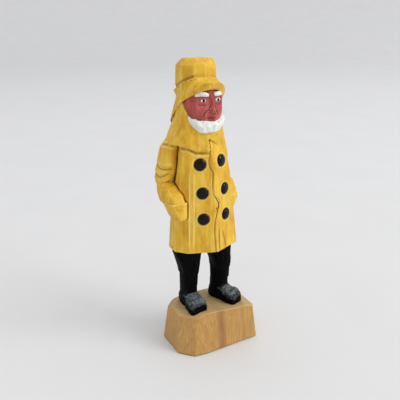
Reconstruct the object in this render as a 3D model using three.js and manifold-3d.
// A whittled fisherman in a yellow oilskin coat and sou'wester, standing on a block of bare wood.
// Millimetres, +Z up. The origin is the middle of the block's underside, and the figure looks along -Y.
import * as THREE from "three";
import { mergeVertices } from "three/addons/utils/BufferGeometryUtils.js";
import Module from "manifold-3d";

const wasm = await Module();
wasm.setup();

// ---- Driving dimensions ----
const TOTAL_HEIGHT = 200;
const BLOCK_HEIGHT = 29.5;
// The block's corners as whittled, from the front left one round by the back, at its foot and at its top.
const BLOCK_FOOT = [
  [30, -20.6], [31, 15.5], [26, 20], [-24, 20.5],
  [-30.5, 14], [-31, -10], [-22, -19.8], [-12, -20.4],
];
const BLOCK_TOP = [
  [25.4, -19.6], [26, 13], [21.5, 17.2], [-18, 17.6],
  [-28.5, 11.5], [-27.8, -4], [-22.6, -12.4], [-13, -18.4],
];
const FIGURE_X = -3.2; // the figure stands a little off the block's middle
const FIGURE_Y = 3.3;
const TROUSER_BOTTOM = 54;
const HEM_HEIGHT = 75;
const SHOULDER_TOP = 152;
const COLLAR_EDGE = 145;
const CHIN_HEIGHT = 155;
const BUTTON_RADIUS = 3.9;
const BUTTON_THICKNESS = 1.5;
const BUTTON_SIDES = 20;
// Each column leans with its front panel, and its buttons are numbered from the hem up.
const BUTTON_COLUMNS = [
  { side: "right", yaw: -0.42, places: [[-7.4, 98], [-7.9, 116], [-8.9, 135]] },
  { side: "left", yaw: 0.42, places: [[10.4, 98.6], [9.2, 116.8], [6.8, 136]] },
];
const OVERLAP_EDGE_X = -1; // the free edge of the front leaf, just past the middle
const OVERLAP_WIDTH = 15;
const POCKET_TOP = 111.8;
const ARMS_X = -2.2; // the arms are alike about this line, a little to the figure's right
const CROWN_Y = 4.6; // the hat's crown is set back from the face
const BRIM_Y = 3.4;
const SEAM = 0.3; // the clearance between neighbouring pieces
const HEAD_X = -2.5; // the head sits slightly towards the figure's right shoulder

// ---- Materials ----
const paint = (color, roughness) => new THREE.MeshStandardMaterial({ color, roughness, metalness: 0 });
const YELLOW_PAINT = paint(0xe0ad2e, 0.55);
const BLACK_PAINT = paint(0x17181b, 0.45);
const SKIN_PAINT = paint(0xa8403f, 0.5);
const WHITE_PAINT = paint(0xe9ebe6, 0.6);
const BARE_WOOD = paint(0xc48f4b, 0.7);

// ---- Shaping tools ----

// A cross-section: a centre with a half-width vector, a half-depth vector and a squareness (2 is an ellipse).
// A prow of p makes the front two flat panels that fall back p half-depths from the middle to the sides.
const section = (centre, across, along, squareness, prow = 0) => ({
  centre,
  across,
  along,
  squareness,
  prow,
});

// A cross-section at height z. A tilt of t raises its front by t millimetres for each millimetre of depth.
const level = (z, x, y, halfWidth, halfDepth, squareness = 2.5, tilt = 0, prow = 0) =>
  section(
    new THREE.Vector3(x, y, z),
    new THREE.Vector3(halfWidth, 0, 0),
    new THREE.Vector3(0, halfDepth, -tilt * halfDepth),
    squareness,
    prow,
  );

// A cross-section square to the way a limb runs, with one half-size across and one in the upright plane.
function limbSection(at, heading, halfAcross, halfUpright, squareness = 2.4) {
  const run = new THREE.Vector3(...heading).normalize();
  const across = new THREE.Vector3(1, 0, 0).addScaledVector(run, -run.x).normalize();
  const upright = new THREE.Vector3().crossVectors(run, across);
  return section(
    new THREE.Vector3(...at),
    across.multiplyScalar(halfAcross),
    upright.multiplyScalar(halfUpright),
    squareness,
  );
}

// A point on the unit super-ellipse, which squares off as the squareness rises, cut back by its prow.
function outlinePoint(angle, { squareness, prow }) {
  const bulge = (v) => Math.sign(v) * Math.abs(v) ** (2 / squareness);
  const u = bulge(Math.cos(angle));
  return [u, prow ? Math.max(bulge(Math.sin(angle)), prow * Math.abs(u) - 1) : bulge(Math.sin(angle))];
}

// A solid skinned over cross-sections, made from a cylinder whose rings are moved onto them. With a grow,
// it stands out by that much all round, which leaves a seam when a neighbour is cut by it.
function skinned(sections, sides, grow = 0) {
  const last = sections.length - 1;
  const geometry = new THREE.CylinderGeometry(1, 1, last, sides, last);
  const place = geometry.getAttribute("position");
  const overshoot = (from, to) => to.clone().sub(from).setLength(grow);
  const starts = overshoot(sections[1].centre, sections[0].centre);
  const ends = overshoot(sections[last - 1].centre, sections[last].centre);
  for (let i = 0; i < place.count; i++) {
    const step = Math.round(place.getY(i) + last / 2);
    const ring = sections[step];
    const reach = Math.hypot(place.getX(i), place.getZ(i));
    const [u, v] = outlinePoint(Math.atan2(-place.getZ(i), place.getX(i)), ring);
    const across = ring.across.clone().setLength(ring.across.length() + grow);
    const along = ring.along.clone().setLength(ring.along.length() + grow);
    const point = ring.centre
      .clone()
      .addScaledVector(across, reach * u)
      .addScaledVector(along, reach * v);
    if (step === 0) point.add(starts);
    if (step === last) point.add(ends);
    place.setXYZ(i, point.x, point.y, point.z);
  }
  return solidOf(geometry);
}

// A manifold solid from a closed geometry, and a geometry back from a solid.
function solidOf(geometry) {
  const bare = geometry.clone();
  bare.deleteAttribute("normal");
  bare.deleteAttribute("uv");
  const merged = mergeVertices(bare, 1e-4);
  const mesh = new wasm.Mesh({
    numProp: 3,
    vertProperties: new Float32Array(merged.getAttribute("position").array),
    triVerts: new Uint32Array(merged.index.array),
  });
  return new wasm.Manifold(mesh);
}

function geometryOf(solid) {
  const { numProp, vertProperties, triVerts } = solid.getMesh();
  const points = new Float32Array((vertProperties.length / numProp) * 3);
  for (let i = 0; i < points.length / 3; i++)
    points.set(vertProperties.subarray(i * numProp, i * numProp + 3), i * 3);
  return new THREE.BufferGeometry()
    .setAttribute("position", new THREE.BufferAttribute(points, 3))
    .setIndex(new THREE.BufferAttribute(new Uint32Array(triVerts), 1));
}

// The biggest of the bodies that a cut leaves, so that a sliver never stays behind.
function largest(solid) {
  return solid.decompose().reduce((a, b) => (a.volume() > b.volume() ? a : b));
}

// A box as a solid, for splitting and trimming.
function trimBox(width, depth, height, x, y, z, turnX = 0, turnY = 0, turnZ = 0) {
  const box = new THREE.BoxGeometry(width, depth, height);
  box.applyMatrix4(new THREE.Matrix4().makeRotationFromEuler(new THREE.Euler(turnX, turnY, turnZ)));
  return solidOf(box.translate(x, y, z));
}

// The same solid for the figure's other side.
const mirrored = (solid, aboutX) => solid.mirror([1, 0, 0]).translate([2 * aboutX, 0, 0]);

// ---- The block ----
function block() {
  const sides = BLOCK_FOOT.length;
  const geometry = new THREE.CylinderGeometry(1, 1, BLOCK_HEIGHT, sides, 1);
  const place = geometry.getAttribute("position");
  for (let i = 0; i < place.count; i++) {
    const high = place.getY(i) > 0;
    const reach = Math.hypot(place.getX(i), place.getZ(i));
    const turn = Math.atan2(-place.getZ(i), place.getX(i)) / (2 * Math.PI);
    const [x, y] = (high ? BLOCK_TOP : BLOCK_FOOT)[(Math.round(turn * sides) + sides) % sides];
    place.setXYZ(i, x * reach, y * reach, high ? BLOCK_HEIGHT : 0);
  }
  return solidOf(geometry);
}

// ---- Boots and trousers ----
// A boot is a shaft with a foot, built pointing along -Y and then turned out by its splay.
function boot(x, y, splay, halfWidth, grow) {
  const sole = BLOCK_HEIGHT + SEAM;
  const foot = skinned(
    [
      limbSection([0, 9, sole + 4], [0, -1, 0], halfWidth - 1.4, 6.4, 3),
      limbSection([0, 4, sole + 4.6], [0, -1, 0], halfWidth - 0.8, 8, 3),
      limbSection([0, -5, sole + 3.6], [0, -1, 0], halfWidth - 0.4, 7.6, 3),
      limbSection([0, -11, sole + 2.6], [0, -1, 0], halfWidth, 7, 2.8),
      limbSection([0, -15.4, sole + 2], [0, -1, 0], halfWidth - 0.6, 5.8, 2.8),
      limbSection([0, -17.6, sole + 1.4], [0, -1, 0], halfWidth - 2.4, 3.6, 2.6),
    ],
    16,
    grow,
  );
  const shaft = skinned(
    [
      level(sole, 0, 1.5, halfWidth - 1, 8.2),
      level(sole + 12, 0, 1.4, halfWidth - 0.4, 8),
      level(TROUSER_BOTTOM - SEAM, 0, 1.4, halfWidth + 0.2, 8),
    ],
    16,
    grow,
  );
  const below = trimBox(60, 60, 10, 0, 0, sole - 5);
  return foot.add(shaft).subtract(below).rotate([0, 0, splay]).translate([x, y, 0]);
}
const rightBoot = (grow = 0) => boot(-10.8, 0, -1, 6.4, grow);
const leftBoot = (grow = 0) => boot(13.2, -2.3, 21.6, 6.2, grow);

// A trouser leg overhangs the boot a little and spreads up to the coat's hem.
const trouserLeg = (bottomX, bottomY, topX, halfBottom, halfTop, grow) =>
  skinned(
    [
      level(TROUSER_BOTTOM, bottomX, bottomY, halfBottom, 9.4, 2.6),
      level((TROUSER_BOTTOM + HEM_HEIGHT) / 2, (bottomX + topX) / 2, 0.8, halfBottom + 0.4, 10.6, 2.6),
      level(HEM_HEIGHT - SEAM, topX, 0.5, halfTop, 14, 2.6),
    ],
    16,
    grow,
  );
const rightLeg = (grow = 0) => trouserLeg(-11, 1.4, -12.4, 7.6, 10.2, grow);
const leftLeg = (grow = 0) => trouserLeg(12.6, -0.8, 12.4, 7.6, 9.2, grow);

// ---- Coat ----
const coatSections = [
  level(HEM_HEIGHT, 0.6, 0, 24, 17.6, 3.2, 0, 0.55),
  level(90, 0.3, 0, 22.6, 17, 3, 0, 0.55),
  level(105, 0, 0, 21, 16.6, 3, 0, 0.5),
  level(120, -0.3, 0, 19.8, 16, 2.8, 0, 0.5),
  level(134, -1, 0.4, 18.6, 15, 2.6, 0, 0.5),
  level(144, -1.6, 1, 16.5, 13.2, 2.4, 0, 0.4),
  level(SHOULDER_TOP, -2, 1.5, 13, 11.5, 2.2, 0, 0.3),
];
const coatBody = (grow = 0) => skinned(coatSections, 24, grow);

// The overlap is the wide front leaf that buttons across, let into the coat.
const OVERLAP_PROUD = 0.9;
const OVERLAP_DEPTH = 1.8;
const overlapTop = COLLAR_EDGE - 3;
const overlapTrim = (grow) =>
  trimBox(
    OVERLAP_WIDTH + 2 * grow,
    30,
    overlapTop - HEM_HEIGHT + 2 * grow,
    OVERLAP_EDGE_X + OVERLAP_WIDTH / 2,
    -15,
    (HEM_HEIGHT + overlapTop) / 2,
  );
const frontOverlap = (grow = 0) =>
  coatBody(OVERLAP_PROUD + grow).intersect(overlapTrim(grow)).subtract(coatBody(-OVERLAP_DEPTH - grow));

// ---- Sleeves: an upper arm hangs back to the elbow, and a forearm comes forward to the pocket ----
const upperArmSections = [
  limbSection([-22.6, 10, 119], [0, 0, 1], 4.8, 5.8),
  limbSection([-23, 9.6, 124], [0.1, -0.1, 1], 6, 7.2),
  limbSection([-21.6, 8, 134], [0.2, -0.2, 1], 6, 7.6),
  limbSection([-18.4, 6.4, 143], [0.35, -0.1, 1], 5.8, 7.2),
  limbSection([-14, 5.6, 150], [0.8, -0.1, 1], 5.6, 5.6),
];
const upperArm = (grow = 0) => skinned(upperArmSections, 16, grow);
const forearmSections = [
  limbSection([-22.6, 14, 121], [0, -1, 0], 4.6, 4.8),
  limbSection([-23.6, 8, 119.8], [0.05, -1, -0.1], 6, 7.4),
  limbSection([-23.2, 1, 117.6], [0.1, -1, -0.4], 6.6, 8.4),
  limbSection([-22, -4, 114.2], [0.1, -0.7, -1], 6.6, 8.2),
  limbSection([-21.4, -5.4, POCKET_TOP], [0, 0, -1], 6.2, 7.8, 2.8),
];
const forearm = (grow = 0) => skinned(forearmSections, 16, grow);

// The pocket bulges over the hand inside it.
const pocketSections = [
  level(POCKET_TOP - 11, -19.6, -5.2, 4.6, 7, 3),
  level(POCKET_TOP - 5, -20.8, -5.4, 5.6, 7.6, 3),
  level(POCKET_TOP - SEAM, -21, -5.4, 5.8, 7.8, 3),
];
const pocket = (grow = 0) => skinned(pocketSections, 16, grow);

// ---- Collar ----
const capeCollar = (grow = 0) =>
  skinned(
    [
      level(COLLAR_EDGE - 1, -1.4, 1.6, 20.8, 16.4, 2.4, -0.06, 0.4),
      level(148.5, -1.8, 1.6, 19.6, 15.6, 2.4, 0.03, 0.4),
      level(153, -2.2, 2, 16.8, 15.2, 2.3, 0, 0.3),
      level(157, HEAD_X, 2.2, 14.6, 14.2, 2.2, 0, 0.2),
    ],
    24,
    grow,
  );
// The collar's two wings part in a notch in front, and the right wing reaches lower than the left.
const NOTCH = [[-2.2, 0], [-2.4, COLLAR_EDGE - 6], [-2.6, 153], [7.4, COLLAR_EDGE - 1], [7.4, 0]];
function collarNotch() {
  const outline = new THREE.Shape(NOTCH.map(([x, z]) => new THREE.Vector2(x, z)));
  const wedge = new THREE.ExtrudeGeometry(outline, { depth: 40, bevelEnabled: false });
  return solidOf(wedge.rotateX(Math.PI / 2));
}
const notchedCollar = (grow = 0) => capeCollar(grow).subtract(collarNotch());

// The storm collar is open at the front, along a line that falls from the ear to the chin.
const stormCollar = (grow = 0) =>
  skinned(
    [
      level(157 + SEAM, HEAD_X, 2.2, 14.6, 14.4, 2.2),
      level(163, HEAD_X, 1.8, 14.8, 14.8, 2.2),
      level(170, HEAD_X, 1.4, 14, 14.4, 2.2),
      level(175, HEAD_X, 1.4, 13.2, 13.4, 2.2),
    ],
    24,
    grow,
  ).subtract(trimBox(50, 30, 40, HEAD_X, -19, 175, -0.66, 0, 0));

// ---- Head ----
const headSections = [
  level(CHIN_HEIGHT, HEAD_X, -2.4, 7.4, 8.4, 2.3),
  level(159, HEAD_X, -1.8, 10, 10.6, 2.3),
  level(165, HEAD_X, -1.4, 11.8, 12, 2.3),
  level(172, HEAD_X, -1, 12.4, 12.4, 2.2),
  level(180, HEAD_X, -0.6, 12.2, 12, 2.2),
  level(187, HEAD_X, 0.4, 11, 11, 2.2),
];
const noseSections = [
  level(169.6, HEAD_X, -12.4, 2.6, 3.2, 2.2),
  level(171.6, HEAD_X, -12.6, 2.4, 3.4, 2.2),
  level(178, HEAD_X, -10.6, 1.3, 2.6, 2.2),
];
const head = (grow = 0) => skinned(headSections, 24, grow).add(skinned(noseSections, 12, grow));

const beard = (grow = 0) =>
  skinned(
    [
      level(CHIN_HEIGHT - 0.5, HEAD_X, -7.4, 7.4, 7, 2.4),
      level(158, HEAD_X, -7, 10.2, 9.2, 2.5),
      level(162.5, HEAD_X, -5.8, 11.8, 10.4, 2.6, -0.1),
      level(165.4, HEAD_X, -5.4, 12, 9.6, 2.6, -0.35),
    ],
    20,
    grow,
  );

// An eyebrow is a short roll of wood bent round the forehead.
function eyebrow(grow = 0) {
  const roll = [
    [-9.4, -9.4, 177.6, 1.2],
    [-6, -12, 179, 1.7],
    [-2.2, -13.2, 178.6, 1.3],
  ];
  const rings = roll.map(([x, y, z, half]) => {
    const centre = new THREE.Vector3(HEAD_X + x, y, z);
    return section(centre, new THREE.Vector3(0, half, 0), new THREE.Vector3(0, 0, half), 2);
  });
  return skinned(rings, 12, grow);
}
function eye(grow = 0) {
  const ball = new THREE.SphereGeometry(1, 16, 10);
  ball.scale(2 + grow, 1.1 + grow, 1.2 + grow).translate(HEAD_X - 5.2, -12, 175);
  return solidOf(ball);
}

// ---- Sou'wester ----
const crownSections = [
  level(184, HEAD_X, CROWN_Y, 13, 14.2, 2.4, 0.5),
  level(188.4, HEAD_X, CROWN_Y, 13, 13.6, 2.4, 0.36),
  level(194, HEAD_X, CROWN_Y, 12.4, 12.8, 2.4, 0.12),
  level(TOTAL_HEIGHT - 2.2, HEAD_X, CROWN_Y, 11.2, 11.6, 2.4),
  level(TOTAL_HEIGHT, HEAD_X, CROWN_Y, 9, 9.2, 2.4),
];
const hatCrown = (grow = 0) => skinned(crownSections, 20, grow);
const brimSections = [
  level(169.6, HEAD_X, BRIM_Y, 17, 20.6, 2.2, 0.8),
  level(176, HEAD_X, BRIM_Y, 15.4, 18.2, 2.2, 0.68),
  level(181, HEAD_X, BRIM_Y + 0.6, 14, 15.6, 2.3, 0.56),
  level(185.4, HEAD_X, CROWN_Y, 13.9, 14.9, 2.4, 0.5),
];
const hollowSections = [
  level(162, HEAD_X, BRIM_Y, 17, 20.6, 2.2, 0.8),
  level(174.4, HEAD_X, BRIM_Y, 13, 15.8, 2.2, 0.68),
  level(179.4, HEAD_X, BRIM_Y + 0.6, 11.4, 13, 2.3, 0.56),
];
const hatBrim = (grow = 0) => skinned(brimSections, 24, grow).subtract(skinned(hollowSections, 24, -grow));

// ---- Buttons: two columns of domed discs, each set square to its panel of the coat ----
function button([x, z], yaw, grow = 0) {
  const radius = BUTTON_RADIUS + grow;
  const face = BUTTON_THICKNESS + grow;
  const profile = [
    [0, -BUTTON_THICKNESS],
    [radius, -BUTTON_THICKNESS],
    [radius, face * 0.55],
    [radius * 0.8, face * 0.9],
    [0, face],
  ];
  const disc = new THREE.LatheGeometry(profile.map(([r, h]) => new THREE.Vector2(r, h)), BUTTON_SIDES);
  disc.rotateX(Math.PI).rotateZ(yaw);
  const above = coatSections.findIndex((s) => s.centre.z > z);
  const [low, high] = [coatSections[above - 1], coatSections[above]];
  const share = (z - low.centre.z) / (high.centre.z - low.centre.z);
  const panelY = (s) => {
    const u = Math.abs(x - s.centre.x) / s.across.length();
    return s.centre.y - s.along.length() * (1 - s.prow * u);
  };
  const y = THREE.MathUtils.lerp(panelY(low), panelY(high), share);
  return solidOf(disc.translate(x, y, z));
}

// ---- Assembly ----
// Earlier pieces keep their shape, and each later one is cut back from them by the seam.
const root = new THREE.Group();
const settled = [];

function addPiece(name, shape, material) {
  const offset = name === "base_block" ? [0, 0, 0] : [FIGURE_X, FIGURE_Y, 0];
  const place = (solid) => solid.translate(offset);
  const cut = settled.reduce((rest, earlier) => rest.subtract(earlier), place(shape(0)));
  settled.push(place(shape(SEAM)));
  const mesh = new THREE.Mesh(geometryOf(largest(cut)), material);
  mesh.name = name;
  root.add(mesh);
}

// A shape for the figure's other side, mirrored about x.
const opposite = (shape, x) => (grow) => mirrored(shape(grow), x);

addPiece("base_block", block, BARE_WOOD);
addPiece("right_boot", rightBoot, BLACK_PAINT);
addPiece("left_boot", leftBoot, BLACK_PAINT);
addPiece("right_trouser_leg", rightLeg, BLACK_PAINT);
addPiece("left_trouser_leg", leftLeg, BLACK_PAINT);
for (const column of BUTTON_COLUMNS)
  column.places.forEach((place, row) =>
    addPiece(`${column.side}_button_${row + 1}`, (grow) => button(place, column.yaw, grow), BLACK_PAINT),
  );
addPiece("head", head, SKIN_PAINT);
addPiece("cape_collar", notchedCollar, YELLOW_PAINT);
addPiece("storm_collar", stormCollar, YELLOW_PAINT);
addPiece("front_overlap", frontOverlap, YELLOW_PAINT);
addPiece("coat_body", coatBody, YELLOW_PAINT);
addPiece("right_forearm_sleeve", forearm, YELLOW_PAINT);
addPiece("left_forearm_sleeve", opposite(forearm, ARMS_X), YELLOW_PAINT);
addPiece("right_upper_sleeve", upperArm, YELLOW_PAINT);
addPiece("left_upper_sleeve", opposite(upperArm, ARMS_X), YELLOW_PAINT);
addPiece("right_pocket", pocket, YELLOW_PAINT);
addPiece("left_pocket", opposite(pocket, ARMS_X), YELLOW_PAINT);
addPiece("beard", beard, WHITE_PAINT);
addPiece("right_eyebrow", eyebrow, WHITE_PAINT);
addPiece("left_eyebrow", opposite(eyebrow, HEAD_X), WHITE_PAINT);
addPiece("right_eye", eye, WHITE_PAINT);
addPiece("left_eye", opposite(eye, HEAD_X), WHITE_PAINT);
addPiece("hat_crown", hatCrown, YELLOW_PAINT);
addPiece("hat_brim", hatBrim, YELLOW_PAINT);

export default root;
